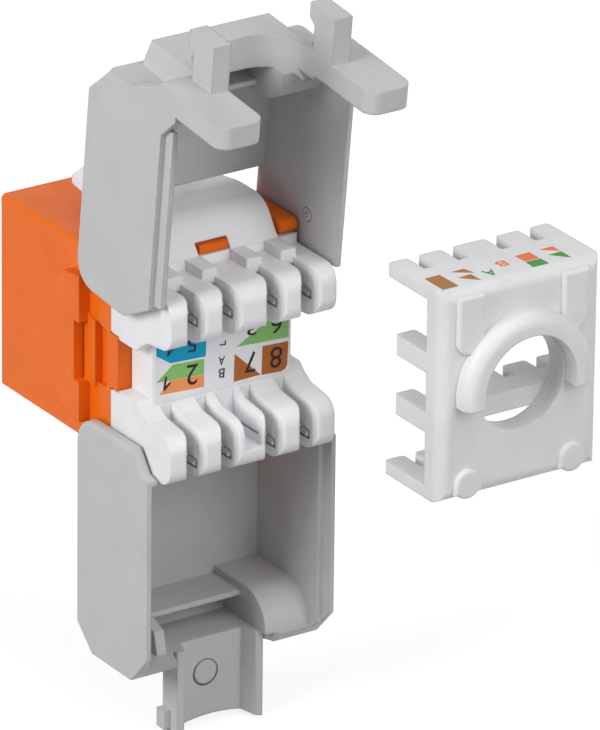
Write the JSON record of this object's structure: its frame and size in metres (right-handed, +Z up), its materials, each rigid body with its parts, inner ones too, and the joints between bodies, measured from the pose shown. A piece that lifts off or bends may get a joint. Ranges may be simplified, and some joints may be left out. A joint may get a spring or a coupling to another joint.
{
  "type": "keystone jack",
  "caption": "RJ45 keystone jack with a springy latch arm, rows of forked wire terminals between hinged covers with a cable strain relief, and a separate wire cap.",
  "frame": {"origin": "middle of the housing's front face, where the socket's mouth is", "axes": "+Y out of the socket's mouth, +Z up towards the latch arm, +X across the width, towards the side where the loose wire cap stands"},
  "size_m": [0.032, 0.0362, 0.0596],
  "materials": {
    "orange_plastic": "smooth moulded, half gloss",
    "white_plastic": "smooth moulded, half gloss",
    "grey_plastic": "smooth moulded, half gloss",
    "label_paper": "printed label, matte",
    "board_laminate": "coated glass-fibre laminate",
    "black_plastic": "moulded, matte",
    "gilt_wire": "gold plated, bright",
    "tinned_blade": "tin plated bronze"
  },
  "bodies": {
    "jack": {"keystone_housing": "orange_plastic", "terminal_block": "white_plastic", "wire_cap": "white_plastic", "colour_code_label": "label_paper", "circuit_board": "board_laminate", "contact_carrier": "black_plastic", "plug_contact_1": "gilt_wire", "plug_contact_2": "gilt_wire", "plug_contact_3": "gilt_wire", "plug_contact_4": "gilt_wire", "plug_contact_5": "gilt_wire", "plug_contact_6": "gilt_wire", "plug_contact_7": "gilt_wire", "plug_contact_8": "gilt_wire", "idc_contact_1": "tinned_blade", "idc_contact_2": "tinned_blade", "idc_contact_3": "tinned_blade", "idc_contact_4": "tinned_blade", "idc_contact_5": "tinned_blade", "idc_contact_6": "tinned_blade", "idc_contact_7": "tinned_blade", "idc_contact_8": "tinned_blade"},
    "upper": {"upper_cover": "grey_plastic"},
    "lower": {"lower_cover": "grey_plastic"}
  },
  "joints": [
    {"name": "upper_cover_hinge", "type": "hinge", "parent": "jack", "child": "upper", "pos_m": [0, -0.015, 0.00745], "axis": [1, 0, 0], "range_deg": [-6.2, 83.8]},
    {"name": "lower_cover_hinge", "type": "hinge", "parent": "jack", "child": "lower", "pos_m": [0, -0.015, -0.00745], "axis": [-1, 0, 0], "range_deg": [0, 90]}
  ]
}
